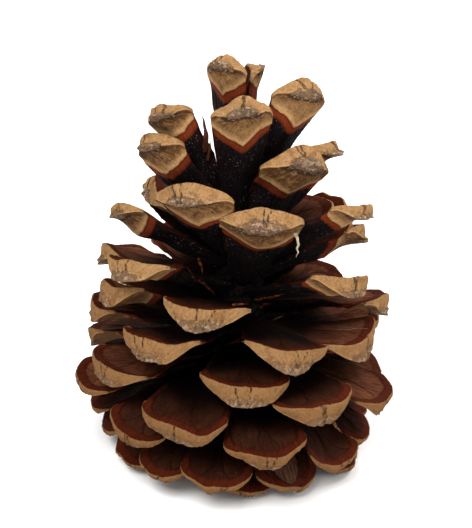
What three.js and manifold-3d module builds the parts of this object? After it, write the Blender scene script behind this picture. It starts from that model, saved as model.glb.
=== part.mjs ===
// An open pine cone standing on its lowest scales, with one winged seed caught between two of them.
// Millimetres, +Z up along the axis of the cone, the ground at z = 0, the side shown first facing -Y.
// One woody scale is placed again and again along a golden-angle spiral and fused to the axis.
import * as THREE from 'three';
import { mergeVertices } from 'three/addons/utils/BufferGeometryUtils.js';
import Module from 'manifold-3d';

const DEGREE = Math.PI / 180;
const MERGE_DISTANCE = 1e-5;

// The spiral: scale 0 is the topmost, and each next one is turned and set lower.
const SCALE_COUNT = 92;
const TURN_PER_SCALE = -137.6;
const FIRST_AZIMUTH = 242.3;

// Profiles down the spiral, each a list of [scale number, value in millimetres or degrees].
const ROOT_HEIGHT = [[0, 53.5], [6, 49.2], [12, 44], [20, 37.6], [30, 31], [42, 24.7], [54, 21],
  [66, 17.6], [80, 15], [94, 12.5]];
const SCALE_LENGTH = [[0, 23.5], [6, 23.3], [12, 22.6], [20, 22], [30, 21.8], [42, 22.8], [54, 25.4],
  [66, 24.6], [76, 22.5], [82, 16], [94, 9]];
const SCALE_TILT = [[0, 86], [2, 80], [7, 70], [12, 59], [15, 53], [20, 45], [22, 38], [28, 27], [33, 20],
  [36, 18], [41, 12], [46, 4], [49, 0], [54, -13], [59, -20], [62, -25], [67, -28], [75, -33], [82, -46],
  [94, -62]];
const HALF_WIDTH = [[0, 2.2], [1, 2.2], [2, 3.3], [4, 4.9], [7, 5.5], [12, 6.7], [20, 7.1], [28, 7.4],
  [50, 7.5], [58, 6.5], [66, 5.7], [76, 5.3], [82, 4], [94, 2.6]];
const END_DEPTH = [[0, 2.4], [2, 3.3], [7, 3.8], [45, 3.8], [52, 3.1], [58, 2.7], [66, 2.3], [76, 1.9],
  [94, 1.2]];
const END_REACH = [[0, 4.5], [2, 6.5], [7, 9], [20, 9.4], [50, 9.5], [66, 8], [80, 6], [94, 3.5]];
// How far the end's corners stand back from its tip, as a share of half the width.
const CORNER_SHARE = [[0, 0.9], [7, 0.85], [20, 0.66], [94, 0.66]];
// How flat the keel runs before it rises to the corners: 1 is a straight V and more is a U.
const KEEL_POWER = [[0, 1.4], [12, 1.6], [28, 2.2], [94, 2.2]];
const AXIS_RADIUS = [[0, 1.2], [8, 2.4], [20, 3.6], [40, 4.4], [80, 4.4]];

// Scales that stand away from the profiles, as seen on the cone itself:
// number: [tilt, turn, length, roll], added to what the profiles give, and half the width where that
// differs too. A narrower scale has a smaller end in proportion.
const STRAY_SCALES = {
  0: [0, 0, -9, 0], 1: [7, -12, -2.2, 0], 2: [5, 0, 1.5, 8, 0.3], 3: [0, 0, -8, 0], 4: [-11, 12, 2, -38],
  5: [-16, 16, -0.5, 48, -0.8], 6: [-38, 0, -12, 0], 7: [1, 4, 2.2, 2, -0.4], 8: [-44, 0, -12, 0],
  9: [-16, -6, -2, -24, -1.2], 10: [-10, -15, 0, 44, -1.2], 11: [-30, 0, -11, 0], 12: [0, 21, -0.5, -28],
  13: [-20, 0, -7, 0], 14: [-36, 0, -7, 0], 15: [-5, -5, 1.5, 9], 16: [-36, 0, -11, 0],
  17: [-15, -5, 3.5, -22, -2.2], 18: [-15, 0, 0, 27, -2.2], 19: [-18, 0, -6, 0], 20: [7, 5, 0, -13],
  21: [0, 1, -1.5, 0, -1.5], 22: [-20, 12, -1.5, -28, -0.8], 23: [-10, -7, 2, 13, -0.3], 24: [-12, 0, -5, 0],
  25: [-10, 4, 3, -18, -1], 26: [-17, -11, 0, 18], 27: [8, -5, 0, 0], 28: [-4, -4, 1, -2],
  29: [-4, 0, -2, 0], 30: [-23, 18, 1, -18], 31: [-3, -9, 0, 20], 33: [-10, 0, 0.5, -12],
  34: [-6, -3, -1, 0], 35: [-6, 0, -5, 0], 36: [-2, -2, 2, 3], 38: [-5, 4, 0, -2], 39: [-4, -10, 0, 13],
  40: [0, 0, -2, 0], 41: [-5, 2, 0, -3], 43: [-10, 5, -3, 0], 44: [-3, -4, 1, 4], 46: [-4, -3, 1.5, -3],
  47: [-5, -1, 0, 20], 49: [-3, 0, 2, -4], 51: [-9, 8, 0, -6], 52: [3, 0, 0.5, -3, -1.2],
  54: [3, -2, 1, 0], 55: [5, 4, 0, 0], 56: [2, 4, -2, 0], 57: [7, -2, -0.5, -7, -0.6],
  59: [-2, -3, 0.5, -4, -1], 62: [2, 0, 0.5, -3], 64: [-2, -2, -1.5, -5, -1], 65: [-6, 2, -1, 0],
  67: [0, -1, -0.5, -6], 70: [9, -3, 0, 0, -0.5], 73: [7, 0, 0, 0], 75: [2, 1, -1, -7], 76: [2, 0, 0, 0],
};
// How far every other scale may stray, the same five values, drawn by chance from a fixed seed.
const CHANCE_STRAY = [3, 2.5, 0.5, 6, 0.3];

// One scale: along it from the root, across it, and up on the side that faces the axis.
const COLUMNS = [-1, -0.75, -0.35, 0, 0.35, 0.75, 1];
const SMALL_COLUMNS = [-1, -0.5, 0, 0.5, 1];
const FIRST_SMALL_SCALE = 78;
const ROOT_DEPTH = 1.5;
const ROOT_HALF_WIDTH = 2.3;
const ROOT_SHARE = 0.55;
// Columns further out than this run into the root's corner, and the others into its middle.
const ROOT_CORNER_FROM = 0.45;
const EDGE_THICKNESS = 0.8;
const RIDGE_AT_ROOT = 1.3;
const RIDGE_GROWTH = 0.6;
const RIDGE_POWER = 1.4;
const UPPER_FIELD_SLOPE = 1.2;
const KNOB_REACH = 0.4;
// The lower field's border runs in a V from its tip up to the sides, and this far below the corners.
const SIDE_FIELD_SHARE = 0.35;
const VEE_POWER = 0.8;

// The woody axis and the broken stalk under it, as [radius, height] from the bottom up.
const AXIS_OUTLINE = [[0, 8.6], [3, 8.6], [3.2, 11], [4.6, 14], [4.4, 30], [3.4, 40], [1.4, 54], [0, 54]];
const AXIS_SIDES = 12;

// The height at which the cone stands: the ends that reach lower are worn flat there.
const GROUND_HEIGHT = 2.7;

// The winged seed lies on the inner face of one scale, and hides the greater part of its length there.
const SEED_SCALE = 67;
const SEED_GAP = 0.34;
const SEED_ALONG = 12.6;
const SEED_HALF_SIZE = [2.7, 1.5, 0.8];
const SEED_ASIDE = -0.5;
const WING_THICKNESS = 0.7;
// One half of the wing's edge, as [along, across] from the seed to the tip, then the other half back.
const WING_EDGE = [[11, -0.9], [13, -1.9], [16, -2.5], [19, -2.6], [21.6, -1.9], [22.9, -0.2],
  [22.3, 1.5], [19.5, 2.4], [16, 2.3], [13, 1.7], [11, 0.9]];
const SEED_SEGMENTS = [8, 6];

function alongProfile(profile, number) {
  const last = profile[profile.length - 1];
  if (number >= last[0]) return last[1];
  let index = 0;
  while (profile[index + 1][0] < number) index += 1;
  const [fromNumber, fromValue] = profile[index];
  const [toNumber, toValue] = profile[index + 1];
  const share = (number - fromNumber) / (toNumber - fromNumber);
  return fromValue + (toValue - fromValue) * share;
}

// A value between -1 and 1 that looks random and is the same in every run.
function chance(number, salt) {
  const wave = Math.sin(number * 12.9898 + salt * 78.233) * 43758.5453;
  return (wave - Math.floor(wave)) * 2 - 1;
}

function strayOf(number) {
  if (STRAY_SCALES[number]) return STRAY_SCALES[number];
  return CHANCE_STRAY.map((reach, salt) => reach * chance(number, salt + 1));
}

// One column of the scale: a closed loop of points from the root over the top, round the end and back.
function scaleColumn(v, size) {
  const side = Math.abs(v);
  const setBack = size.cornerShare * size.halfWidth;
  const rootHalf = Math.min(ROOT_HALF_WIDTH, ROOT_SHARE * size.halfWidth);
  const rootV = side > ROOT_CORNER_FROM ? Math.sign(v) : 0;
  const ridge = (a) => RIDGE_AT_ROOT + RIDGE_GROWTH * a / size.length;
  const under = (a, share) => -EDGE_THICKNESS - ridge(a) * (1 - Math.pow(Math.abs(share), RIDGE_POWER));
  const rim = size.length - setBack * (1 - Math.sqrt(Math.max(0, 1 - v * v)));
  const knob = side === 0 ? KNOB_REACH : 0;
  const keelAlong = rim - UPPER_FIELD_SLOPE * (1 - v * v) + knob;
  const keelUp = -EDGE_THICKNESS - (size.endDepth - EDGE_THICKNESS) * (1 - Math.pow(side, size.keelPower));
  const cornerAlong = size.length - setBack;
  const veeTip = size.length - size.endReach;
  const veeRise = cornerAlong - SIDE_FIELD_SHARE * size.halfWidth - veeTip;
  const veeAlong = veeTip + veeRise * Math.pow(side, VEE_POWER);
  const growth = Math.min(1, veeAlong / cornerAlong);
  const veeHalf = rootHalf + (size.halfWidth - rootHalf) * growth;
  return [
    [-ROOT_DEPTH, rootV * rootHalf, 0],
    [rim, v * size.halfWidth, 0],
    [keelAlong, v * size.halfWidth, keelUp],
    [veeAlong, v * veeHalf, under(veeAlong, v)],
    [-ROOT_DEPTH, rootV * rootHalf, under(0, rootV)],
  ];
}

function scaleGeometry(size, columns) {
  const loops = columns.map((v) => scaleColumn(v, size));
  const rows = loops[0].length;
  const positions = loops.flat(2);
  const indices = [];
  for (let column = 0; column < columns.length - 1; column += 1) {
    for (let row = 0; row < rows; row += 1) {
      const here = column * rows + row;
      const next = column * rows + (row + 1) % rows;
      indices.push(here, next + rows, here + rows);
      indices.push(here, next, next + rows);
    }
  }
  const lastLoop = (columns.length - 1) * rows;
  for (let row = 1; row < rows - 1; row += 1) {
    indices.push(0, row + 1, row);
    indices.push(lastLoop, lastLoop + row, lastLoop + row + 1);
  }
  const geometry = new THREE.BufferGeometry();
  geometry.setAttribute('position', new THREE.Float32BufferAttribute(positions, 3));
  geometry.setIndex(indices);
  return geometry;
}

// The place of a scale: its root on the axis, its length pointing out and up, its inner face up.
function scalePlace(number) {
  const [tiltStray, turnStray, , roll] = strayOf(number);
  const tilt = (alongProfile(SCALE_TILT, number) + tiltStray) * DEGREE;
  const azimuth = (FIRST_AZIMUTH + number * TURN_PER_SCALE + turnStray) * DEGREE;
  const out = new THREE.Vector3(Math.sin(azimuth), -Math.cos(azimuth), 0);
  const up = new THREE.Vector3(0, 0, 1);
  const along = out.clone().multiplyScalar(Math.cos(tilt)).addScaledVector(up, Math.sin(tilt));
  const lift = out.clone().multiplyScalar(-Math.sin(tilt)).addScaledVector(up, Math.cos(tilt));
  lift.applyAxisAngle(along, roll * DEGREE);
  const across = new THREE.Vector3().crossVectors(lift, along);
  const root = out.clone().multiplyScalar(alongProfile(AXIS_RADIUS, number));
  root.z = alongProfile(ROOT_HEIGHT, number);
  return new THREE.Matrix4().makeBasis(along, across, lift).setPosition(root);
}

function scaleSize(number) {
  const [, , lengthStray, , widthStray = 0] = strayOf(number);
  const usualHalfWidth = alongProfile(HALF_WIDTH, number);
  const share = 1 + widthStray / usualHalfWidth;
  return {
    length: alongProfile(SCALE_LENGTH, number) + lengthStray,
    halfWidth: usualHalfWidth * share,
    endDepth: alongProfile(END_DEPTH, number) * share,
    endReach: alongProfile(END_REACH, number) * share,
    cornerShare: alongProfile(CORNER_SHARE, number),
    keelPower: alongProfile(KEEL_POWER, number),
  };
}

function toSolid(wasm, geometry) {
  const bare = geometry.clone();
  bare.deleteAttribute('normal');
  bare.deleteAttribute('uv');
  const merged = mergeVertices(bare, MERGE_DISTANCE);
  return new wasm.Manifold(new wasm.Mesh({
    numProp: 3,
    vertProperties: new Float32Array(merged.attributes.position.array),
    triVerts: new Uint32Array(merged.index.array),
  }));
}

function toGeometry(solid) {
  const mesh = solid.getMesh();
  const geometry = new THREE.BufferGeometry();
  geometry.setAttribute('position', new THREE.BufferAttribute(new Float32Array(mesh.vertProperties), 3));
  geometry.setIndex(new THREE.BufferAttribute(new Uint32Array(mesh.triVerts), 1));
  return geometry;
}

const wasm = await Module();
wasm.setup();

const axisPoints = AXIS_OUTLINE.map(([radius, height]) => new THREE.Vector2(radius, height));
const axisGeometry = new THREE.LatheGeometry(axisPoints, AXIS_SIDES);
axisGeometry.rotateX(90 * DEGREE);
const grown = [toSolid(wasm, axisGeometry)];
for (let number = 0; number < SCALE_COUNT; number += 1) {
  const columns = number < FIRST_SMALL_SCALE ? COLUMNS : SMALL_COLUMNS;
  const geometry = scaleGeometry(scaleSize(number), columns).applyMatrix4(scalePlace(number));
  grown.push(toSolid(wasm, geometry));
}
const standing = wasm.Manifold.union(grown).trimByPlane([0, 0, 1], GROUND_HEIGHT);
// Loose scraps and sealed pockets come apart here, and only the cone itself is kept.
const cone = standing.decompose().reduce((largest, piece) => (
  piece.volume() > largest.volume() ? piece : largest
));
const { min, max } = cone.boundingBox();
const toOrigin = [-(min[0] + max[0]) / 2, -(min[1] + max[1]) / 2, -GROUND_HEIGHT];

const seedGeometry = new THREE.SphereGeometry(1, ...SEED_SEGMENTS);
seedGeometry.scale(...SEED_HALF_SIZE);
seedGeometry.translate(SEED_ALONG, 0, SEED_HALF_SIZE[2]);
const wingShape = new THREE.Shape(WING_EDGE.map(([along, across]) => new THREE.Vector2(along, across)));
const wingGeometry = new THREE.ExtrudeGeometry(wingShape, { depth: WING_THICKNESS, bevelEnabled: false });
const seedShift = new THREE.Matrix4().makeTranslation(0, SEED_ASIDE, SEED_GAP);
const seedPlace = scalePlace(SEED_SCALE).multiply(seedShift);
const seed = toSolid(wasm, seedGeometry.applyMatrix4(seedPlace))
  .add(toSolid(wasm, wingGeometry.applyMatrix4(seedPlace)));

const scaleWood = new THREE.MeshStandardMaterial({ color: 0x6b4a33, roughness: 0.7, metalness: 0 });
const wingSkin = new THREE.MeshStandardMaterial({ color: 0x4a3226, roughness: 0.65, metalness: 0 });
const part = new THREE.Group();
part.name = 'pine_cone_with_seed';
for (const [name, solid, material] of [['pine_cone', cone, scaleWood], ['winged_seed', seed, wingSkin]]) {
  const mesh = new THREE.Mesh(toGeometry(solid.translate(toOrigin)), material);
  mesh.name = name;
  part.add(mesh);
}
export default part;
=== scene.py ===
"""An open pine cone standing on a pale floor.

The scales follow the same spiral rule and the same sizes as the CAD solid, at a finer grain: every
scale is a closed skin with a rounded rim, a keeled end with its boss, wing prints and fibres.
"""

import logging
import math
from dataclasses import dataclass, field, replace
from enum import Enum, IntEnum

import bpy
import numpy as np
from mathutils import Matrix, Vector


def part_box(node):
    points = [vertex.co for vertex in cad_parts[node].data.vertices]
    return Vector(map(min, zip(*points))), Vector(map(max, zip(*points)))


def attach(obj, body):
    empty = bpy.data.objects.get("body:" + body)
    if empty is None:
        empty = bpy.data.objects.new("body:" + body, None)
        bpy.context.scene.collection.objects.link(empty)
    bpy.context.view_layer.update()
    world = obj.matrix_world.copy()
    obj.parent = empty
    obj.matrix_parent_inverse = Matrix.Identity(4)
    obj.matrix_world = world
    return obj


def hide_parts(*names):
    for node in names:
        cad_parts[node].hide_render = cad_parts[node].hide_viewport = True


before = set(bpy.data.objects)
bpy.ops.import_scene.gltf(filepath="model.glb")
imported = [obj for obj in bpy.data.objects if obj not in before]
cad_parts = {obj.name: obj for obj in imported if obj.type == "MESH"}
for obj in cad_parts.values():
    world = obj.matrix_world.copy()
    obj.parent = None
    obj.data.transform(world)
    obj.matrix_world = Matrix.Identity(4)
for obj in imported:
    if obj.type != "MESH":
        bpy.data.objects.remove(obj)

log = logging.getLogger("pine_cone")

MM = 0.001

# The spiral: scale 0 is the topmost, and each next one is turned and set lower.
SCALE_COUNT = 92
TURN_PER_SCALE = -137.6
FIRST_AZIMUTH = 242.3
# From the spiral's own origin to the shared frame, in millimetres.
SPIRAL_OFFSET = (0.6633, 0.8694, -2.7)

# Profiles down the spiral, each a list of (scale number, value in millimetres or degrees).
ROOT_HEIGHT = ((0, 53.5), (6, 49.2), (12, 44), (20, 37.6), (30, 31), (42, 24.7), (54, 21),
               (66, 17.6), (80, 15), (94, 12.5))
SCALE_LENGTH = ((0, 23.5), (6, 23.3), (12, 22.6), (20, 22), (30, 21.8), (42, 22.8), (54, 25.4),
                (66, 24.6), (76, 22.5), (82, 16), (94, 9))
SCALE_TILT = ((0, 86), (2, 80), (7, 70), (12, 59), (15, 53), (20, 45), (22, 38), (28, 27), (33, 20),
              (36, 18), (41, 12), (46, 4), (49, 0), (54, -13), (59, -20), (62, -25), (67, -28),
              (75, -33), (82, -46), (94, -62))
HALF_WIDTH = ((0, 2.2), (1, 2.2), (2, 3.3), (4, 4.9), (7, 5.5), (12, 6.7), (20, 7.1), (28, 7.4),
              (50, 7.5), (58, 6.5), (66, 5.7), (76, 5.3), (82, 4), (94, 2.6))
END_DEPTH = ((0, 2.4), (2, 3.3), (7, 3.8), (45, 3.8), (52, 3.1), (58, 2.7), (66, 2.3), (76, 1.9),
             (94, 1.2))
END_REACH = ((0, 4.5), (2, 6.5), (7, 9), (20, 9.4), (50, 9.5), (66, 8), (80, 6), (94, 3.5))
# How far the end's corners stand back from its tip, as a share of half the width.
CORNER_SHARE = ((0, 0.9), (7, 0.85), (20, 0.66), (94, 0.66))
# How flat the keel runs before it rises to the corners: 1 is a straight V and more is a U.
KEEL_POWER = ((0, 1.4), (12, 1.6), (28, 2.2), (94, 2.2))
AXIS_RADIUS = ((0, 1.2), (8, 2.4), (20, 3.6), (40, 4.4), (80, 4.4))

# Scales that stand away from the profiles: number: (tilt, turn, length, roll) added to them, and half
# the width where that differs too. A narrower scale has a smaller end in proportion.
STRAY_SCALES = {
    0: (0, 0, -9, 0), 1: (7, -12, -2.2, 0), 2: (5, 0, 1.5, 8, 0.3), 3: (0, 0, -8, 0),
    4: (-11, 12, 2, -38), 5: (-16, 16, -0.5, 48, -0.8), 6: (-38, 0, -12, 0), 7: (1, 4, 2.2, 2, -0.4),
    8: (-44, 0, -12, 0), 9: (-16, -6, -2, -24, -1.2), 10: (-10, -15, 0, 44, -1.2),
    11: (-30, 0, -11, 0), 12: (0, 21, -0.5, -28), 13: (-20, 0, -7, 0), 14: (-36, 0, -7, 0),
    15: (-5, -5, 1.5, 9), 16: (-36, 0, -11, 0), 17: (-15, -5, 3.5, -22, -2.2),
    18: (-15, 0, 0, 27, -2.2), 19: (-18, 0, -6, 0), 20: (7, 5, 0, -13), 21: (0, 1, -1.5, 0, -1.5),
    22: (-20, 12, -1.5, -28, -0.8), 23: (-10, -7, 2, 13, -0.3), 24: (-12, 0, -5, 0),
    25: (-10, 4, 3, -18, -1), 26: (-17, -11, 0, 18), 27: (8, -5, 0, 0), 28: (-4, -4, 1, -2),
    29: (-4, 0, -2, 0), 30: (-23, 18, 1, -18), 31: (-3, -9, 0, 20), 33: (-10, 0, 0.5, -12),
    34: (-6, -3, -1, 0), 35: (-6, 0, -5, 0), 36: (-2, -2, 2, 3), 38: (-5, 4, 0, -2),
    39: (-4, -10, 0, 13), 40: (0, 0, -2, 0), 41: (-5, 2, 0, -3), 43: (-10, 5, -3, 0),
    44: (-3, -4, 1, 4), 46: (-4, -3, 1.5, -3), 47: (-5, -1, 0, 20), 49: (-3, 0, 2, -4),
    51: (-9, 8, 0, -6), 52: (3, 0, 0.5, -3, -1.2), 54: (3, -2, 1, 0), 55: (5, 4, 0, 0),
    56: (2, 4, -2, 0), 57: (7, -2, -0.5, -7, -0.6), 59: (-2, -3, 0.5, -4, -1), 62: (2, 0, 0.5, -3),
    64: (-2, -2, -1.5, -5, -1), 65: (-6, 2, -1, 0), 67: (0, -1, -0.5, -6), 70: (9, -3, 0, 0, -0.5),
    73: (7, 0, 0, 0), 75: (2, 1, -1, -7), 76: (2, 0, 0, 0),
}
# How far every other scale may stray, the same five values, drawn by chance from a fixed seed.
CHANCE_STRAY = (3, 2.5, 0.5, 6, 0.3)

ROOT_DEPTH = 1.5
ROOT_HALF_WIDTH = 2.3
ROOT_SHARE = 0.55
RIDGE_AT_ROOT = 1.3
RIDGE_GROWTH = 0.6
RIDGE_POWER = 1.4
UPPER_FIELD_SLOPE = 1.2
# The lower field's border runs in a V from its tip up to the sides, and this far below the corners.
SIDE_FIELD_SHARE = 0.35
VEE_POWER = 0.8
# The V slants across the columns, so it lies nearer to a place than the way down its column says.
VEE_SLANT = 0.87

# Half the width from which on a scale has its full relief. A narrower one has less in proportion.
FULL_HALF_WIDTH = 7.0
# The scale from which on the ends are darker with painted shade, duller and flatter, and over how many
# scales that grows.
LOW_FROM = 18
LOW_OVER = 32
# What the stored distances say where their line is out of reach, and the prints' off the inner face.
FAR = 9.0
NO_PRINT = -3.0

# The steep spirals that the eye follows up the cone: every thirteenth scale belongs to the same one.
STEEP_ROWS = 13
# Scales with loose pale fibres on their inner faces, one entry for each fibre.
HAIRY_SCALES = (38, 38)
FIRST_SCALE_SEED = 4100
AXIS_SEED = 77
WING_SEED = 5
FIBRE_SEED = 30228

RGB = tuple[float, float, float]
Point = tuple[float, float, float]


class Face(Enum):
    """The two broad faces of a scale."""

    INNER = 0.0
    OUTER = 1.0


class Detail(Enum):
    """How finely a scale is meshed, as (columns, rows on each broad face)."""

    FINE = (57, 18)
    SMALL = (27, 12)


class Draw(IntEnum):
    """The draws that make one scale's end differ from the next. Those from 1 to 5 are the strays."""

    POINTED = 11
    BOSS_WIDTH = 21
    BOSS_HEIGHT = 22
    BOSS_PLACE = 23
    CRACK_COUNT = 31
    CRACK_START = 32
    CRACK_LEAN = 36
    TONE = 41


def along_profile(profile: tuple, number: float) -> float:
    """Read a profile at a scale's number, between the two nearest of its pairs."""
    numbers, values = zip(*profile)
    return float(np.interp(number, numbers, values))


def chance(number: int, draw: int) -> float:
    """Draw a value from -1 to 1 for a scale, which looks random and is the same in every run."""
    wave = math.sin(number * 12.9898 + draw * 78.233) * 43758.5453
    return (wave - math.floor(wave)) * 2 - 1


def smooth_step(low: float, high: float, value: np.ndarray) -> np.ndarray:
    """Rise from 0 to 1, with level ends, while the value runs from low to high."""
    share = np.clip((value - low) / (high - low), 0, 1)
    return share * share * (3 - 2 * share)


def bell(value: np.ndarray, middle: float, width: float) -> np.ndarray:
    """Rise to 1 where the value is in the middle and fall off to both sides over the width."""
    return np.exp(-(((value - middle) / width) ** 2))


def placed(along: np.ndarray, across: np.ndarray | float, up: np.ndarray | float) -> np.ndarray:
    """Join three coordinates into places, each coordinate spread over the shape of all."""
    return np.stack(np.broadcast_arrays(along, across, up), axis=-1)


def ring_angles(sides: int) -> np.ndarray:
    """Give the angles of corners that stand evenly round a ring."""
    return np.linspace(0, 2 * math.pi, sides, endpoint=False)


def ring_faces(rings: int, sides: int) -> np.ndarray:
    """List the faces between closed rings that follow each other.

    Args:
        rings: How many rings there are.
        sides: How many corners each ring has.

    Returns:
        Four corners for each face.
    """
    ring, corner = np.meshgrid(np.arange(rings - 1), np.arange(sides), indexing="ij")
    here = ring * sides + corner
    beside = ring * sides + (corner + 1) % sides
    return np.stack([here, beside, beside + sides, here + sides], axis=-1).reshape(-1, 4)


def evenly_along(path: tuple, count: int) -> tuple[np.ndarray, np.ndarray]:
    """Place points evenly along a bent path.

    Args:
        path: The corners of the path.
        count: How many points there are.

    Returns:
        The way along the path to each point, and the points.
    """
    corners = np.array(path)
    reach = np.concatenate([[0], np.cumsum(np.linalg.norm(np.diff(corners, axis=0), axis=1))])
    way = np.linspace(0, reach[-1], count)
    return way, np.stack([np.interp(way, reach, axis) for axis in corners.T], axis=-1)


def distance_to_line(points: np.ndarray, line: np.ndarray) -> np.ndarray:
    """Measure how far points lie from a polyline.

    Args:
        points: An array of shape (..., 2).
        line: The corners of the polyline, of shape (corners, 2).

    Returns:
        The distances, of the points' shape without its last axis.
    """
    start, step = line[:-1], np.diff(line, axis=0)
    reach = np.maximum((step**2).sum(axis=1), 1e-9)
    away = points[..., None, :] - start
    share = np.clip((away * step).sum(axis=-1) / reach, 0, 1)
    return np.linalg.norm(away - share[..., None] * step, axis=-1).min(axis=-1)


class Ripple:
    """Smooth irregular waves over a plane, summed from a few waves with seeded directions."""

    def __init__(self, rng: np.random.Generator, length: float, waves: int) -> None:
        """Draw the waves.

        Args:
            rng: The source of the draws.
            length: The usual length of a wave, in the unit of the plane.
            waves: How many waves are summed.
        """
        heading = rng.uniform(0, 2 * math.pi, waves)
        rate = 2 * math.pi / (length * rng.uniform(0.6, 1.7, waves))
        self.rate_x = rate * np.cos(heading)
        self.rate_y = rate * np.sin(heading)
        self.phase = rng.uniform(0, 2 * math.pi, waves)
        self.gain = math.sqrt(2 / waves)

    def at(self, x: np.ndarray, y: np.ndarray | float = 0.0) -> np.ndarray:
        """Read the height of the waves, mostly between -1 and 1."""
        turn = x[..., None] * self.rate_x + np.asarray(y)[..., None] * self.rate_y + self.phase
        return np.sin(turn).sum(axis=-1) * self.gain


class Flow:
    """A shader socket that takes part in arithmetic."""

    def __init__(self, graph: "Graph", socket: bpy.types.NodeSocket) -> None:
        """Wrap an output socket of a graph."""
        self.graph = graph
        self.socket = socket

    def math(self, operation: str, *others: "Flow | float") -> "Flow":
        """Apply a Math node to this value and the others."""
        return self.graph.node("ShaderNodeMath", {"operation": operation}, dict(enumerate((self, *others))))

    def __add__(self, other: "Flow | float") -> "Flow":
        """Add."""
        return self.math("ADD", other)

    def __mul__(self, other: "Flow | float") -> "Flow":
        """Multiply."""
        return self.math("MULTIPLY", other)

    def __sub__(self, other: "Flow | float") -> "Flow":
        """Subtract."""
        return self.math("SUBTRACT", other)

    def __rsub__(self, other: float) -> "Flow":
        """Subtract from a number."""
        return self.math("MULTIPLY_ADD", -1.0, other)

    def __truediv__(self, other: "Flow | float") -> "Flow":
        """Divide."""
        return self.math("DIVIDE", other)

    def __rtruediv__(self, other: float) -> "Flow":
        """Divide a number."""
        return self.math("POWER", -1.0) * other

    def __neg__(self) -> "Flow":
        """Change the sign."""
        return self.math("MULTIPLY", -1.0)

    __radd__ = __add__
    __rmul__ = __mul__

    def abs(self) -> "Flow":
        """Drop the sign."""
        return self.math("ABSOLUTE")

    def rise(self, low: float, high: float, start: float = 0.0, end: float = 1.0) -> "Flow":
        """Go smoothly from start to end while this value runs from low to high."""
        inputs = {"Value": self, "From Min": low, "From Max": high, "To Min": start, "To Max": end}
        return self.graph.node("ShaderNodeMapRange", {"interpolation_type": "SMOOTHSTEP"}, inputs)

    def fall(self, low: float, high: float) -> "Flow":
        """Go smoothly from 1 to 0 while this value runs from low to high."""
        return self.rise(low, high, 1.0, 0.0)


class Graph:
    """The node tree of one material, with short ways to add nodes."""

    def __init__(self, name: str) -> None:
        """Make an empty material with one surface.

        Args:
            name: The material's name.
        """
        self.material = bpy.data.materials.new(name)
        self.material.use_nodes = True
        self.tree = self.material.node_tree
        self.surface = self.tree.nodes["Principled BSDF"].inputs

    def node(
        self,
        kind: str,
        settings: dict[str, object] | None = None,
        inputs: dict[int | str, object] | None = None,
        output: int | str = 0,
    ) -> Flow:
        """Add a node.

        Args:
            kind: The node's type.
            settings: Its properties.
            inputs: Its inputs by name or number, each a value or a Flow.
            output: The output that is returned.

        Returns:
            The chosen output.
        """
        made = self.tree.nodes.new(kind)
        for name, value in (settings or {}).items():
            setattr(made, name, value)
        for key, value in (inputs or {}).items():
            self.feed(made.inputs[key], value)
        return Flow(self, made.outputs[output])

    def feed(self, socket: bpy.types.NodeSocket, value: object) -> None:
        """Link a Flow to an input or set its value.

        Args:
            socket: The input.
            value: A Flow, a number, a vector or a colour of three numbers.
        """
        if isinstance(value, Flow):
            self.tree.links.new(value.socket, socket)
        elif socket.type == "RGBA" and len(value) == 3:
            socket.default_value = (*value, 1.0)
        else:
            socket.default_value = value

    def attribute(self, name: str, output: str = "Fac") -> Flow:
        """Read a value stored on the mesh, as Fac for a number and as Vector for a vector."""
        return self.node("ShaderNodeAttribute", {"attribute_name": name}, output=output)

    def noise(self, place: Flow, scale: float, detail: float, roughness: float) -> Flow:
        """Add a noise round 0.5, with its octaves and the weight of the finer ones."""
        inputs = {"Vector": place, "Scale": scale, "Detail": detail, "Roughness": roughness}
        return self.node("ShaderNodeTexNoise", None, inputs)

    def stretched(self, place: Flow, by: RGB) -> Flow:
        """Stretch a place along its three axes before a pattern is read there."""
        return self.node("ShaderNodeVectorMath", {"operation": "MULTIPLY"}, {0: place, 1: by})

    def mixed(self, first: Flow | RGB, second: Flow | RGB, share: Flow | float) -> Flow:
        """Mix two colours, with that share of the second."""
        return self.node("ShaderNodeMix", {"data_type": "RGBA"}, {0: share, 6: first, 7: second}, output=2)

    def painted(self, base: Flow | RGB, *coats: tuple[Flow | RGB, Flow | float]) -> Flow:
        """Lay coats of colour over each other.

        Args:
            base: The colour under them.
            coats: Pairs of a colour and the share in which it covers what lies under it.

        Returns:
            The colour on top.
        """
        for colour, share in coats:
            base = self.mixed(base, colour, share)
        return base

    def finish(
        self,
        colour: Flow | RGB,
        roughness: Flow | float,
        shine: float,
        height: Flow | None = None,
        depth: float = 0.0,
    ) -> bpy.types.Material:
        """Feed the surface.

        Args:
            colour: The base colour.
            roughness: The roughness.
            shine: How strongly the surface mirrors the light, 0.5 as usual.
            height: The relief that the light sees, or None.
            depth: How deep the relief is, in metres.

        Returns:
            The material.
        """
        self.feed(self.surface["Base Color"], colour)
        self.feed(self.surface["Roughness"], roughness)
        self.feed(self.surface["Specular IOR Level"], shine)
        if height is not None:
            bump = self.node("ShaderNodeBump", None, {"Height": height, "Distance": depth, "Strength": 1.0})
            self.feed(self.surface["Normal"], bump)
        return self.material


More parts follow.
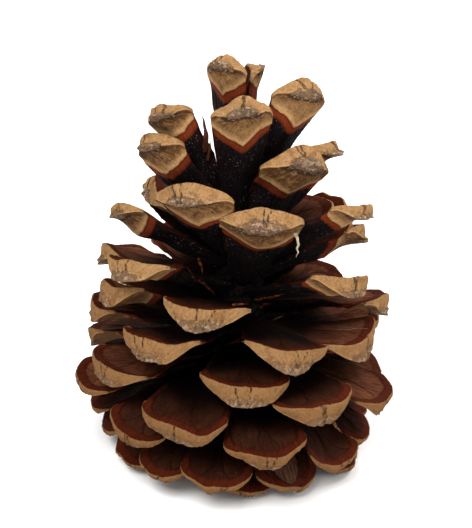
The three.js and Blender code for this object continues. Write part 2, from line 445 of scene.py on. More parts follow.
class ScalePatterns:
    """The stored values and the noises that all parts of a scale's look share."""

    def __init__(self, graph: Graph) -> None:
        """Read the values and add the noises.

        Args:
            graph: The graph of the scale's material.
        """
        self.graph = graph
        self.place = graph.attribute("place", "Vector")
        self.fibre = graph.attribute("fibre", "Vector")
        self.face = graph.attribute("face_side")
        self.boss = graph.attribute("boss_reach")
        self.vee_edge = graph.attribute("vee_edge")
        self.depth = graph.attribute("depth")
        self.tone = graph.attribute("tone")
        self.low = graph.attribute("low")
        # How much painted light the inner face takes, by the way the scale faces.
        self.painted_light_share = graph.attribute("painted_light_share")
        self.calm = 1.0 - self.low * 0.45
        self.blotch = graph.noise(self.place, 0.45, 3.0, 0.55)
        self.grain = graph.noise(self.place, 2.6, 4.0, 0.65)
        self.mottle = graph.noise(self.place, 1.1, 4.0, 0.72)
        self.lumps = graph.noise(self.place, 1.25, 2.0, 0.55)
        self.dust = graph.noise(self.place, 4.2, 1.0, 0.5)
        self.fine_fibre = graph.noise(graph.stretched(self.fibre, (5.5, 0.35, 1.0)), 1.0, 3.0, 0.6)
        self.rays = graph.noise(graph.attribute("radial", "Vector"), 2.6, 3.0, 0.62)


@dataclass(frozen=True)
class ScaleFinish:
    """The look of the scales: tan ends, a red-brown band, black backs and brown inner faces."""

    tan: RGB = (0.262, 0.137, 0.052)
    tan_pale: RGB = (0.378, 0.216, 0.096)
    tan_dark: RGB = (0.062, 0.0225, 0.0075)
    tan_low_shade: RGB = (0.155, 0.070, 0.025)
    boss: RGB = (0.150, 0.092, 0.058)
    boss_pale: RGB = (0.30, 0.215, 0.150)
    boss_dark: RGB = (0.034, 0.0165, 0.0095)
    resin: RGB = (0.42, 0.34, 0.26)
    band: RGB = (0.132, 0.0220, 0.0068)
    band_bright: RGB = (0.205, 0.0385, 0.0115)
    # The margins' red-brown, also painted as shade beside the tan end.
    margin: RGB = (0.042, 0.0067, 0.0024)
    margin_bright: RGB = (0.086, 0.0142, 0.0045)
    back: RGB = (0.0050, 0.0032, 0.0036)
    back_pale: RGB = (0.0150, 0.0098, 0.0105)
    speck: RGB = (0.40, 0.36, 0.31)
    inner: RGB = (0.0165, 0.0040, 0.0017)
    inner_pale: RGB = (0.142, 0.046, 0.0195)
    # inner_dark: the dark lines and grain, and also the painted shade of the inner face towards the root.
    inner_dark: RGB = (0.0018, 0.0008, 0.0007)
    band_width_back: float = 1.55
    band_width_inner: float = 1.7
    margin_width: float = 0.9
    relief: float = 0.00024
    shine: float = 0.03

    def build(self) -> bpy.types.Material:
        """Make the material.

        Returns:
            The material, which reads the attributes that ScaleSkin stores.
        """
        graph = Graph("scale_wood_fine")
        seen = ScalePatterns(graph)
        tan_edge = graph.attribute("tan_edge")
        ragged = (seen.grain - 0.5) * 0.9 + (seen.blotch - 0.5) * 1.2
        tan_reach = tan_edge + ragged * 0.22
        tan_mask = tan_reach.rise(-0.05, 0.07)
        tan, crack_line, boss_mask = self.end_wood(seen)
        inner, print_line = self.inner_wood(seen)
        colour = graph.painted(
            inner,
            (self.back_wood(seen), seen.face),
            self.band_wood(seen, tan_edge, ragged),
            # Painted shade on the band and the inner rim beside the edge of the tan end.
            (self.margin, tan_reach.rise(-0.55, -0.04) * 0.55),
            (tan, tan_mask),
        )
        roughness = 0.66 + seen.face * -0.08 + seen.grain * 0.12 + tan_mask * 0.15
        height = seen.fine_fibre * (0.5 - tan_mask * 0.3) + seen.grain * 0.5 + seen.rays * tan_mask * 0.6
        height = height + seen.lumps * boss_mask * 1.6 + seen.mottle * tan_mask * 1.1
        height = height - crack_line * 1.8 - print_line * (1.0 - seen.face) * 0.6
        return graph.finish(colour, roughness, self.shine, height, self.relief)

    def end_wood(self, seen: ScalePatterns) -> tuple[Flow, Flow, Flow]:
        """Colour the thickened end: tan wood with its stains and lines, cracks, the boss and the painted
        shadow under and round it.

        Args:
            seen: The shared values and noises.

        Returns:
            The colour, the mask of the cracks and the mask of the boss.
        """
        graph = seen.graph
        crack_line = graph.attribute("crack_edge").fall(0.03, 0.24) * seen.grain.rise(0.34, 0.48)
        # Painted shadow in the furrow under the boss, laid in the boss's dark colour with the real dark
        # cracks.
        furrow_shade = graph.attribute("furrow_shade").rise(0.15, 0.7) * (0.8 - 0.5 * seen.low)
        tan = graph.painted(
            self.lined_wood(seen, self.stained_wood(seen)),
            (self.tan_dark, self.rings(seen) * 0.4),
            (self.boss_dark, furrow_shade.math("MAXIMUM", crack_line * 0.8)),
        )
        boss_edge = seen.boss + (seen.lumps - 0.5) * 1.1
        boss_mask = boss_edge.fall(0.84, 0.98) * (0.9 - 0.5 * seen.low)
        resin = seen.lumps.rise(0.56, 0.64) * seen.boss.fall(0.9, 2.2) * seen.grain.rise(0.48, 0.56)
        tan = graph.painted(
            tan,
            # Painted shadow in a ring round the boss's edge.
            (self.boss_dark, boss_edge.rise(0.95, 1.14, 0.6, 0.0) * seen.calm),
            (self.boss_crust(seen), boss_mask),
            (self.resin, resin * (0.5 - 0.3 * seen.low)),
        )
        return tan, crack_line, boss_mask

    def stained_wood(self, seen: ScalePatterns) -> Flow:
        """Colour the tan wood with its brown rays and mottling, and the painted shade that darkens the
        lower scales' ends.

        Args:
            seen: The shared values and noises.

        Returns:
            The colour.
        """
        rays = seen.rays.rise(0.40, 0.58)
        mottle = seen.mottle.rise(0.40, 0.58)
        field = seen.face * seen.vee_edge.rise(0.4, 1.6)
        below = field * (rays * 0.55 + mottle * 0.60)
        near_boss = seen.boss.fall(1.0, 2.6) * field * (0.35 + 0.65 * rays)
        above = (1.0 - seen.face) * (seen.mottle.rise(0.50, 0.66) * 0.45 + rays * 0.14)
        stain = (below + near_boss * 0.8) * (0.55 + seen.tone * 0.45) + above
        return seen.graph.painted(
            self.tan,
            (self.tan_pale, (seen.rays * 0.5 + seen.mottle * 0.5).rise(0.42, 0.58)),
            # Painted shade: the ends of the lower scales are darker.
            (self.tan_low_shade, seen.low * 0.85),
            (self.tan_dark, (stain * seen.calm).math("MINIMUM", 0.92)),
            (self.tan_dark, seen.blotch.rise(0.46, 0.70) * (0.12 + seen.tone * 0.4) * seen.calm),
            (self.tan_dark, seen.grain.rise(0.46, 0.68) * 0.35),
        )

    def lined_wood(self, seen: ScalePatterns, tan: Flow) -> Flow:
        """Draw the pale lip, a painted highlight on the crest of the keel and painted shade in the hollow
        under it.

        Args:
            seen: The shared values and noises.
            tan: The colour of the wood.

        Returns:
            The colour with the lines.
        """
        keel_edge = seen.graph.attribute("keel_edge")
        lip = seen.vee_edge.rise(0.10, 0.24) * seen.vee_edge.fall(0.40, 0.80) * (1.0 - 0.7 * seen.low)
        return seen.graph.painted(
            tan,
            (self.tan_pale, lip * 0.6),
            # Painted shade under the keel's overhang, then a painted highlight on its crest.
            (self.tan_dark, (keel_edge + 0.42).abs().fall(0.10, 0.42) * 0.5 * seen.calm),
            (self.tan_pale, (keel_edge - 0.08).abs().fall(0.02, 0.20) * 0.5 * seen.calm),
        )

    def boss_crust(self, seen: ScalePatterns) -> Flow:
        """Colour the grey crust of the boss.

        Args:
            seen: The shared values and noises.

        Returns:
            The colour.
        """
        groove = (seen.lumps - 0.5).abs().fall(0.006, 0.030)
        return seen.graph.painted(
            self.boss,
            (self.boss_pale, seen.lumps.rise(0.46, 0.62)),
            (self.tan, seen.mottle.rise(0.48, 0.60) * 0.7),
            (self.boss_dark, groove * 0.75),
        )

    def rings(self, seen: ScalePatterns) -> Flow:
        """Draw the few small rings and pits that stand on the tan wood.

        Args:
            seen: The shared values and noises.

        Returns:
            The mask of the rings.
        """
        inputs = {"Vector": seen.place, "Scale": 0.62, "Randomness": 1.0}
        reach, draw = (
            seen.graph.node("ShaderNodeTexVoronoi", {"feature": "F1"}, inputs, output)
            for output in ("Distance", "Color")
        )
        chosen = seen.graph.node("ShaderNodeSeparateColor", None, {"Color": draw}, "Red").rise(0.62, 0.66)
        return (reach + (seen.grain - 0.5) * 0.12 - 0.24).abs().fall(0.015, 0.06) * chosen

    def band_wood(self, seen: ScalePatterns, tan_edge: Flow, ragged: Flow) -> tuple[Flow, Flow]:
        """Colour the red-brown band round the tan end and the torn red margins of the inner face.

        Args:
            seen: The shared values and noises.
            tan_edge: The way to the edge of the tan wood, negative outside it.
            ragged: How ragged the edges run.

        Returns:
            The colour and its mask.
        """
        graph = seen.graph
        width = seen.face * (self.band_width_back - self.band_width_inner) + self.band_width_inner
        share = (-tan_edge + ragged * 0.5) / width
        margin_share = (graph.attribute("margin_edge") + ragged * 0.5) / self.margin_width
        torn = (seen.blotch + 0.45 * seen.depth).rise(0.62, 0.80)
        margin_mask = margin_share.fall(0.2, 1.1) * (1.0 - seen.face * 0.85) * torn
        streak = seen.fine_fibre.rise(0.42, 0.70) * 0.6
        colour = graph.painted(
            graph.mixed(self.margin, self.margin_bright, streak),
            (graph.mixed(self.band, self.band_bright, streak), seen.face),
            (self.inner, seen.grain.rise(0.54, 0.76) * 0.45),
            (self.inner_dark, share.rise(0.55, 1.05) * 0.5),
        )
        return colour, share.fall(0.80, 1.10).math("MAXIMUM", margin_mask)

    def back_wood(self, seen: ScalePatterns) -> Flow:
        """Colour the outer face: nearly black, faintly streaked, with pale specks of dust.

        Args:
            seen: The shared values and noises.

        Returns:
            The colour.
        """
        sparse = 0.10 + 0.35 * seen.blotch.rise(0.38, 0.58)
        return seen.graph.painted(
            self.back,
            (self.back_pale, seen.fine_fibre.rise(0.46, 0.74) * 0.7),
            (self.band, seen.blotch.rise(0.60, 0.80) * 0.22 * seen.depth),
            (self.speck, seen.dust.rise(0.685, 0.735) * sparse),
        )

    def inner_wood(self, seen: ScalePatterns) -> tuple[Flow, Flow]:
        """Colour the inner face: dark brown, paler on the two prints of the wings and where light is
        painted, painted black in shade at the root.

        Args:
            seen: The shared values and noises.

        Returns:
            The colour and the mask of the prints' outlines.
        """
        graph = seen.graph
        print_edge = graph.attribute("print_edge")
        threads = graph.noise(graph.stretched(seen.fibre, (9.0, 0.5, 1.0)), 1.0, 2.0, 0.5)
        pale = seen.fine_fibre.rise(0.36, 0.62) * 0.55 + threads.rise(0.38, 0.60) * 0.45
        # The pale fibres and the prints show most on the faces that take painted light.
        pale = pale * (0.05 + 0.15 * seen.tone + 0.95 * seen.painted_light_share)
        print_share = print_edge.rise(-0.1, 0.35) * seen.blotch.rise(0.35, 0.65)
        line = (print_edge + seen.fine_fibre * 0.3 - 0.15).abs().fall(0.03, 0.20)
        line = line * seen.blotch.rise(0.36, 0.56)
        # Painted shade: the inner face turns black towards the root, later on the faces that take painted
        # light.
        root_shade_from = 0.56 - 0.28 * seen.painted_light_share
        root_shade_to = 0.98 - 0.16 * seen.painted_light_share
        inner = graph.painted(
            self.inner,
            # Painted shade: the pale fibres fade out towards the root.
            (self.inner_pale, pale * seen.depth.rise(0.35, 0.95)),
            (self.inner_pale, print_share * (0.10 + 0.40 * seen.painted_light_share)),
            (self.inner_dark, line * 0.45),
            (self.inner_dark, seen.grain.rise(0.60, 0.76) * 0.4),
            (self.speck, seen.dust.rise(0.70, 0.75) * 0.12),
            # Painted shade towards the root.
            (self.inner_dark, seen.depth.rise(root_shade_from, root_shade_to, 0.94, 0.0)),
        )
        return inner, line


@dataclass(frozen=True)
class SeedFinish:
    """The look of the winged seed: a speckled grey-brown seed and a striped brown wing."""

    wing: RGB = (0.058, 0.0235, 0.0125)
    wing_dark: RGB = (0.020, 0.0085, 0.0050)
    wing_pale: RGB = (0.125, 0.060, 0.035)
    nut: RGB = (0.16, 0.125, 0.095)
    relief: float = 0.0002
    shine: float = 0.08

    def build(self) -> bpy.types.Material:
        """Make the material.

        Returns:
            The material, which reads the attributes that WingedSeed stores.
        """
        graph = Graph("seed_wing_fine")
        place = graph.attribute("place", "Vector")
        stripe = graph.noise(graph.stretched(place, (0.35, 3.0, 0.0)), 1.0, 3.0, 0.6)
        grain = graph.noise(place, 5.0, 3.0, 0.6)
        colour = graph.painted(
            self.wing,
            (self.wing_dark, stripe.rise(0.50, 0.62)),
            (self.wing_pale, stripe.rise(0.46, 0.34) * 0.6),
            (graph.mixed(self.nut, self.wing_dark, grain.rise(0.48, 0.62)), graph.attribute("on_nut")),
        )
        return graph.finish(colour, 0.5 + grain * 0.15, self.shine, stripe * 0.8 + grain * 0.3, self.relief)


@dataclass(frozen=True)
class WoodFinish:
    """The look of the axis, the stalk and the loose splinters: fibrous red-brown wood."""

    name: str
    wood: RGB
    wood_dark: RGB
    stretch: RGB = (1.0, 1.0, 1.0)
    roughness: float = 0.7
    relief: float = 0.0003
    shine: float = 0.05

    def build(self) -> bpy.types.Material:
        """Make the material.

        Returns:
            The material, which reads the place attribute in millimetres.
        """
        graph = Graph(self.name)
        place = graph.attribute("place", "Vector")
        fibres = graph.noise(graph.stretched(place, self.stretch), 2.4, 4.0, 0.6)
        grain = graph.noise(place, 3.0, 3.0, 0.6)
        colour = graph.painted(
            self.wood,
            (self.wood_dark, fibres.rise(0.42, 0.62)),
            (self.wood_dark, grain.rise(0.55, 0.75) * 0.6),
        )
        roughness = self.roughness + grain * 0.1
        return graph.finish(colour, roughness, self.shine, fibres + grain * 0.4, self.relief)


@dataclass(frozen=True)
class FloorFinish:
    """The look of the floor: plain, pale and matt."""

    pale: RGB = (0.90, 0.90, 0.895)
    roughness: float = 0.9
    shine: float = 0.5

    def build(self) -> bpy.types.Material:
        """Make the material."""
        return Graph("pale_floor").finish(self.pale, self.roughness, self.shine)


@dataclass
class Skin:
    """A mesh in the making: corners in millimetres, faces, and values stored on the corners."""

    corners: np.ndarray
    faces: np.ndarray
    values: dict[str, np.ndarray] = field(default_factory=dict)

    @staticmethod
    def joined(skins: list["Skin"]) -> "Skin":
        """Join skins that store the same values.

        Args:
            skins: The skins.

        Returns:
            One skin with all of them.
        """
        starts = np.cumsum([0] + [len(skin.corners) for skin in skins[:-1]])
        return Skin(
            np.concatenate([skin.corners for skin in skins]),
            np.concatenate([skin.faces + start for skin, start in zip(skins, starts)]),
            {name: np.concatenate([skin.values[name] for skin in skins]) for name in skins[0].values},
        )

    def worn_into(self, node: str) -> "Skin":
        """Wear the skin flat where it reaches out of the box of a CAD node."""
        low, high = (np.array(corner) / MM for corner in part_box(node))
        return replace(self, corners=np.clip(self.corners, low, high))

    def to_piece(self, name: str, material: bpy.types.Material, slot: str) -> bpy.types.Object:
        """Make the object that is shown.

        Args:
            name: The piece's name.
            material: Its material.
            slot: The name of a record's slot for the piece; not used.

        Returns:
            The object, riding on the one body.
        """
        keep = np.ones(self.faces.shape, bool)
        keep[:, 3] = self.faces[:, 3] != self.faces[:, 2]
        loops = self.faces[keep]
        counts = keep.sum(axis=1)
        starts = np.cumsum(counts) - counts
        mesh = bpy.data.meshes.new(name)
        mesh.vertices.add(len(self.corners))
        mesh.vertices.foreach_set("co", (self.corners * MM).astype(np.float32).ravel())
        mesh.loops.add(len(loops))
        mesh.loops.foreach_set("vertex_index", loops.astype(np.int32))
        mesh.polygons.add(len(counts))
        mesh.polygons.foreach_set("loop_start", starts.astype(np.int32))
        mesh.update(calc_edges=True)
        mesh.polygons.foreach_set("use_smooth", np.ones(len(counts), bool))
        for key, value in self.values.items():
            kind, entry = ("FLOAT", "value") if value.ndim == 1 else ("FLOAT_VECTOR", "vector")
            stored = mesh.attributes.new(key, kind, "POINT")
            stored.data.foreach_set(entry, value.astype(np.float32).ravel())
        mesh.validate()
        mesh.materials.append(material)
        piece = bpy.data.objects.new(name, mesh)
        bpy.context.scene.collection.objects.link(piece)
        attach(piece, "root")
        log.info("%s: %d faces", name, len(counts))
        return piece


def stray_of(number: int) -> tuple[float, ...]:
    """Tell how far a scale stands away from the profiles.

    Args:
        number: The scale's number.

    Returns:
        Tilt, turn, length, roll and half the width.
    """
    if number in STRAY_SCALES:
        return (*STRAY_SCALES[number], 0.0)[:5]
    return tuple(reach * chance(number, draw) for draw, reach in enumerate(CHANCE_STRAY, start=1))


@dataclass(frozen=True)
class ScalePlace:
    """Where a scale stands: its root and its three directions, in millimetres."""

    root: np.ndarray
    along: np.ndarray
    across: np.ndarray
    lift: np.ndarray

    @staticmethod
    def of(number: int) -> "ScalePlace":
        """Place a scale by the spiral's rule.

        Args:
            number: The scale's number.

        Returns:
            Its place in the shared frame.
        """
        tilt_stray, turn_stray, _, roll, _ = stray_of(number)
        tilt = math.radians(along_profile(SCALE_TILT, number) + tilt_stray)
        azimuth = math.radians(FIRST_AZIMUTH + number * TURN_PER_SCALE + turn_stray)
        out = np.array([math.sin(azimuth), -math.cos(azimuth), 0.0])
        up = np.array([0.0, 0.0, 1.0])
        along = out * math.cos(tilt) + up * math.sin(tilt)
        lift = up * math.cos(tilt) - out * math.sin(tilt)
        turn = math.radians(roll)
        lift = lift * math.cos(turn) + np.cross(along, lift) * math.sin(turn)
        root = out * along_profile(AXIS_RADIUS, number) + up * along_profile(ROOT_HEIGHT, number)
        return ScalePlace(root + SPIRAL_OFFSET, along, np.cross(lift, along), lift)

    def apply(self, local: np.ndarray) -> np.ndarray:
        """Move places (along, across, up) from the scale's own frame to the shared frame."""
        return self.root + local @ np.array([self.along, self.across, self.lift])


class Part(IntEnum):
    """The parts of a scale's skin, in the order in which a column runs over them."""

    INNER = 0
    RIM = 1
    UPPER_FIELD = 2
    LOWER_FIELD = 3
    BACK = 4


@dataclass
class Line:
    """A line across a scale: its place along the scale, half its width and its height in each column."""

    along: np.ndarray | float
    half: np.ndarray | float
    up: np.ndarray | float

    def towards(self, other: "Line", share: np.ndarray) -> tuple[np.ndarray, np.ndarray, np.ndarray]:
        """Go from this line to another, with a row of places for each share of the way."""
        pairs = ((self.along, other.along), (self.half, other.half), (self.up, other.up))
        return tuple(start + (end - start) * share for start, end in pairs)


class Columns:
    """The skin of a scale before its relief, as columns that run from the root over the end and back."""

    def __init__(self, parts: dict[Part, np.ndarray]) -> None:
        """Join the parts and measure the way along each column.

        Args:
            parts: The places of each part, in the scale's own frame.
        """
        places = np.concatenate(list(parts.values()), axis=1)
        self.along, self.across, self.up = np.moveaxis(places, -1, 0)
        self.kinds = np.repeat(list(parts), [part.shape[1] for part in parts.values()])
        step = np.linalg.norm(np.diff(places, axis=1), axis=-1)
        self.way = np.pad(np.cumsum(step, axis=1), ((0, 0), (1, 0)))
        self.on_inner = self.kinds == Part.INNER
        self.on_back = self.kinds == Part.BACK
        self.on_end = ~(self.on_inner | self.on_back)
        self.from_keel = self.way_to(Part.UPPER_FIELD)
        self.to_vee = self.way_to(Part.LOWER_FIELD) * VEE_SLANT

    def last_row(self, part: Part) -> int:
        """Find the last row of a part."""
        return int(np.flatnonzero(self.kinds == part)[-1])

    def way_to(self, part: Part) -> np.ndarray:
        """Measure the way along each column to the last row of a part, negative past that row."""
        return self.way[:, [self.last_row(part)]] - self.way


@dataclass
class ScaleSkin:
    """One scale, meshed as a closed skin round columns that run from the root to the end and back."""

    number: int
    detail: Detail = Detail.FINE
    edge_thickness: float = 0.6
    rim_radius: float = 0.32
    rim_rows: int = 4
    end_rows: int = 15
    # The waves of the end's lines: notches in the rim, and how far the keel and the V stray.
    notch_depth: float = 0.20
    keel_back: float = 0.14
    keel_lift: float = 0.13
    vee_stray: float = 0.35
    # The boss: half its width and height as shares of the scale's half width, how far it stands out,
    # and how far its middle lies from the keel.
    boss_share: tuple[float, float] = (0.53, 0.25)
    boss_height: float = 0.9
    boss_rise: float = -0.15
    # The bulge of the upper field, the hollow of the lower one, and its lip at the border to the back.
    bulge_height: float = 0.26
    hollow_depth: float = 0.55
    lip_drop: float = 0.16
    lip_height: float = 0.16
    lip_from_vee: float = 0.42
    # The relief of the end: its slope in radians, ridge on the keel, furrow under the boss, ribs, cracks.
    end_slope: float = 0.35
    keel_ridge_height: float = 0.24
    keel_ridge_width: float = 0.38
    furrow_depth: float = 0.30
    rib_height: float = 0.05
    crack_depth: float = 0.16
    crack_width: float = 0.22
    # The relief of the two faces: prints of the wings and their distance from the end, a rib in the
    # middle, an uneven bend, a cup and ragged sides.
    print_depth: float = 0.14
    print_from_end: float = 2.3
    middle_rib_height: float = 0.10
    bend_height: float = 0.32
    cup_height: float = 0.25
    ragged_share: float = 0.045

    def __post_init__(self) -> None:
        """Read the scale's sizes off the profiles, lay its lines and columns, and measure over them."""
        _, _, length_stray, _, width_stray = stray_of(self.number)
        usual_half_width = along_profile(HALF_WIDTH, self.number)
        share = 1 + width_stray / usual_half_width
        self.length = along_profile(SCALE_LENGTH, self.number) + length_stray
        self.half_width = usual_half_width * share
        self.end_depth = along_profile(END_DEPTH, self.number) * share
        self.end_reach = along_profile(END_REACH, self.number) * share
        self.root = Line(-ROOT_DEPTH, min(ROOT_HALF_WIDTH, ROOT_SHARE * self.half_width), 0.0)
        self.set_back = along_profile(CORNER_SHARE, self.number) * self.half_width
        self.corner = self.length - self.set_back
        self.size_share = min(1.0, self.half_width / FULL_HALF_WIDTH)
        self.low = float(np.clip((self.number - LOW_FROM) / LOW_OVER, 0, 1))
        self.boss_at = 0.05 * chance(self.number, Draw.BOSS_PLACE) * self.half_width

        columns, self.face_rows = self.detail.value
        self.v = np.sin(np.linspace(-1, 1, columns) * math.pi / 2)[:, None]
        self.side = np.abs(self.v)
        # The lines and the waves draw from one source of chance, in this order.
        self.rng = np.random.default_rng(FIRST_SCALE_SEED + self.number)
        rim_along = self.rim_along()
        self.keel = self.keel_line(rim_along)
        self.rim = Line(rim_along, self.half_width, -np.minimum(self.rim_radius, -self.keel.up * 0.45))
        self.vee = self.vee_line()
        self.ribs = Ripple(self.rng, 0.9, 8)
        self.rough = Ripple(self.rng, 1.1, 10)
        self.warp = Ripple(self.rng, 11.0, 5)
        self.lumps = Ripple(self.rng, 0.55, 12)
        self.ragged = Ripple(self.rng, 1.3, 8)
        self.skin = Columns({
            Part.INNER: self.inner_face(),
            Part.RIM: self.round_rim(),
            Part.UPPER_FIELD: self.upper_field(),
            Part.LOWER_FIELD: self.lower_field(),
            Part.BACK: self.back(),
        })
        self.values = self.edge_values() | self.boss_values()
        self.values["crack_edge"] = self.crack_edge()
        self.values["print_edge"] = self.print_edge()
        self.values["depth"] = np.clip(self.skin.along / self.length, 0, 1)

    def rim_along(self) -> np.ndarray:
        """Give the outline of the scale's end.

        Returns:
            How far the rim reaches along the scale in each column.
        """
        usual = 0.14 * (chance(self.number, Draw.POINTED) + 1.3) * (1 - self.low)
        pointed = 0.6 if 2 <= self.number < 14 else usual
        round_end = 1 - np.sqrt(np.maximum(0, 1 - self.v**2))
        straight = self.side**1.35
        wave = Ripple(self.rng, 0.75, 6).at(self.v)
        notch = (self.notch_depth - 0.07 * self.low) * (1 + wave) * self.size_share * (1 - self.side**6)
        return self.length - self.set_back * ((1 - pointed) * round_end + pointed * straight) - notch

    def keel_line(self, rim_along: np.ndarray) -> Line:
        """Give the keel, which parts the end's upper field from its lower field.

        Args:
            rim_along: How far the rim reaches along the scale.

        Returns:
            The keel.
        """
        fade = 1 - self.side**4
        wavy = 1 + Ripple(self.rng, 0.7, 6).at(self.v) * fade * self.size_share
        along = rim_along - UPPER_FIELD_SLOPE * (1 - self.v**2) * self.size_share - self.keel_back * wavy
        round_up = 1 - self.side ** along_profile(KEEL_POWER, self.number)
        up = -self.edge_thickness - (self.end_depth - self.edge_thickness) * round_up
        return Line(along, self.half_width, up + self.keel_lift * wavy * fade)

    def vee_line(self) -> Line:
        """Give the V in which the lower field ends on the back.

        Returns:
            The V.
        """
        tip = self.length - self.end_reach
        rise = self.corner - SIDE_FIELD_SHARE * self.half_width - tip
        along = tip + rise * self.side**VEE_POWER
        along = along + self.vee_stray * Ripple(self.rng, 1.0, 5).at(self.v) * (1 - self.side**2)
        along = np.minimum(along, self.keel.along)
        return Line(along, self.half_at(np.minimum(1, along / self.corner)), self.under(along))

    def half_at(self, share: np.ndarray) -> np.ndarray:
        """Give half the width at shares of the way from the root to the corners."""
        return self.root.half + (self.half_width - self.root.half) * share

    def under(self, along: np.ndarray) -> np.ndarray:
        """Give the height of the outer face, which has a ridge down its middle."""
        ridge = RIDGE_AT_ROOT + RIDGE_GROWTH * along / self.length
        return -self.edge_thickness - ridge * (1 - self.side**RIDGE_POWER)

    def inner_face(self) -> np.ndarray:
        """Mesh the inner face from the root to the rim.

        Returns:
            The places.
        """
        share = 1 - (1 - np.linspace(0, 1, self.face_rows)) ** 1.35
        before_rim = Line(self.rim.along - self.rim_radius, self.half_width, 0.0)
        along, half, up = self.root.towards(before_rim, share)
        return placed(along, self.v * half, up)

    def round_rim(self) -> np.ndarray:
        """Mesh the rounded rim.

        Returns:
            The places.
        """
        turn = np.linspace(0.25, 1, self.rim_rows) * math.pi / 2
        along = self.rim.along - self.rim_radius + self.rim_radius * np.sin(turn)
        return placed(along, self.v * self.rim.half, self.rim.up * (1 - np.cos(turn)))

    def upper_field(self) -> np.ndarray:
        """Mesh the bulging upper field of the end, from the rim down to the keel.

        Returns:
            The places.
        """
        share = np.linspace(0, 1, self.end_rows + 1)[1:]
        bulge = (self.bulge_height + 0.24 * self.low) * (1 - self.side**2) * self.size_share
        along, half, up = self.rim.towards(self.keel, share)
        return placed(along + bulge * np.sin(math.pi * share), self.v * half, up)

    def lower_field(self) -> np.ndarray:
        """Mesh the hollow lower field of the end, from the keel to the V on the back.

        Returns:
            The places.
        """
        share = np.linspace(0, 1, self.end_rows + 3)[1:]
        hollow = self.hollow_depth * np.sin(math.pi * share) ** 1.2 * (1 - self.side**1.6) * self.size_share
        along, half, up = self.keel.towards(self.vee, share)
        up = up + hollow
        up[:, [-1]] -= self.lip_drop * self.size_share * (1 - self.side**4)
        return placed(along - hollow * 0.35, self.v * half, up)

    def back(self) -> np.ndarray:
        """Mesh the outer face, from the V back to the root.

        Returns:
            The places.
        """
        share = 1 - (1 - np.linspace(0, 1, self.face_rows + 1)[1:]) ** 0.85
        along, half, _ = self.vee.towards(self.root, share)
        return placed(along, self.v * half, self.under(along))

    def build(self) -> Skin:
        """Add the relief and the stored values, and close the skin.

        Returns:
            The skin in the shared frame, with the values that ScaleFinish reads.
        """
        way = self.skin.way
        places = self.in_relief()
        offset = self.rng.uniform(-400, 400, 3)
        values = self.values | {
            "place": places + offset,
            "fibre": placed(self.v * self.half_width, way, 0.0) + offset,
            "radial": self.values["radial"] + offset,
            "tone": np.full_like(way, 0.5 + 0.5 * chance(self.number, Draw.TONE)),
            "low": np.full_like(way, self.low),
            "painted_light_share": np.full_like(way, self.painted_light_share()),
        }
        stored = {name: value.reshape(-1, *value.shape[2:]) for name, value in values.items()}
        corners = ScalePlace.of(self.number).apply(places).reshape(-1, 3)
        return Skin(corners, self.faces(*way.shape), stored)

    def painted_light_share(self) -> float:
        """Tell how much painted light the inner face takes: the upper scales at the sides and the back are
        painted palest.

        Returns:
            A share from 0 to 1.
        """
        aside, back, _ = ScalePlace.of(self.number).along
        upper = float(np.clip((60 - self.number) / 8, 0, 1))
        side_share = float(np.clip((abs(aside) - 0.6) / 0.35, 0, 1))
        back_share = float(np.clip(0.2 + back, 0, 1))
        return max(side_share, back_share) * upper

    def edge_values(self) -> dict[str, np.ndarray]:
        """Measure how far each place lies from the borders of the scale's parts.

        Returns:
            The values by name.
        """
        skin = self.skin
        flat = np.stack([skin.along, skin.across], axis=-1)
        tan_edge = np.minimum(-skin.way_to(Part.INNER), skin.to_vee)
        for on_part, border in ((skin.on_inner, Part.INNER), (skin.on_back, Part.LOWER_FIELD)):
            tan_edge[:, on_part] = -distance_to_line(flat[:, on_part], flat[:, skin.last_row(border)])
        margins = [distance_to_line(flat, flat[edge, skin.on_inner]) for edge in (0, -1)]
        shows_back = skin.on_back | (skin.kinds == Part.LOWER_FIELD)
        return {
            "tan_edge": tan_edge,
            "vee_edge": np.where(skin.on_end, skin.to_vee, FAR),
            "keel_edge": np.where(skin.on_end, skin.from_keel, FAR),
            "margin_edge": np.where(skin.on_end, FAR, np.minimum(*margins)),
            "face_side": np.where(shows_back, Face.OUTER.value, Face.INNER.value) + 0 * skin.way,
        }

    def boss_values(self) -> dict[str, np.ndarray]:
        """Measure the places against the boss in the middle of the end.

        Returns:
            The share of the boss's own size, the fan of rays round it and the furrow under it, which is
            both sunk and painted in shade, by name.
        """
        skin = self.skin
        boss_half, boss_high = (
            share * self.half_width * (1 + 0.15 * chance(self.number, draw))
            for share, draw in zip(self.boss_share, (Draw.BOSS_WIDTH, Draw.BOSS_HEIGHT))
        )
        aside, above = skin.across - self.boss_at, skin.from_keel - self.boss_rise
        boss_reach = np.where(skin.on_end, np.hypot(aside / boss_half, above / boss_high), FAR)
        reach = np.hypot(aside, above) + 0.05
        below = smooth_step(0.15, -0.35, skin.from_keel) * skin.on_end
        return {
            "boss_reach": boss_reach,
            "radial": placed(3.2 * aside / reach, 3.2 * above / reach, 0.2 * reach),
            "furrow_shade": below * bell(boss_reach, 1.08, 0.22),
        }

